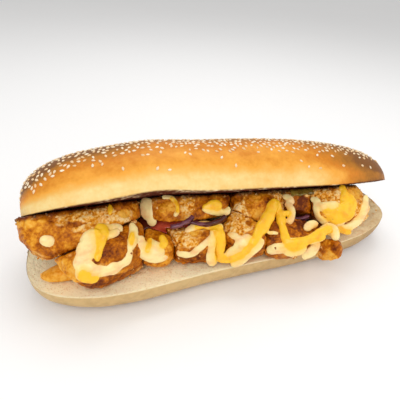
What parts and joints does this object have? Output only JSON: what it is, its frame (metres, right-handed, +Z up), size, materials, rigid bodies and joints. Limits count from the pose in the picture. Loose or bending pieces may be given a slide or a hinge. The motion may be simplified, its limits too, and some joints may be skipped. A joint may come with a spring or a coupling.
{
  "type": "submarine sandwich",
  "caption": "Footlong sesame roll hinged along its back, held open by fried chicken tenders, tomato, red onion and lettuce under thick drizzled sauces.",
  "frame": {"origin": "middle of the flat underside of the heel, on the surface that the roll rests on", "axes": "+X along the roll towards its slimmer end, +Y towards the hinge at the back, +Z up; the mouth opens towards -Y"},
  "size_m": [0.3, 0.1278, 0.1009],
  "materials": {
    "bread": "baked crust, satin and golden on top, pale cream low on the sides; soft off-white crumb on the cut faces",
    "fried_coating": "rough crisp golden brown breading with thick glossy cream and yellow sauce",
    "tomato": "wet red flesh with a smooth skin",
    "red_onion": "moist translucent flesh, pale inside with a purple rim",
    "lettuce": "thin olive green leaf"
  },
  "bodies": {
    "root": {"sub_roll": "bread", "tender_upper_right": "fried_coating", "tender_upper_dark": "fried_coating", "tender_upper_centre": "fried_coating", "tender_upper_middle": "fried_coating", "tender_upper_left": "fried_coating", "tender_lower_left": "fried_coating", "tender_tip_left": "fried_coating", "chicken_chunk_middle": "fried_coating", "tender_lower_middle": "fried_coating", "tender_lower_centre": "fried_coating", "tender_lower_right": "fried_coating", "chicken_tip_right": "fried_coating", "tomato_slice": "tomato", "onion_slice_1": "red_onion", "onion_slice_2": "red_onion", "onion_slice_3": "red_onion", "lettuce_strip": "lettuce"}
  },
  "joints": []
}
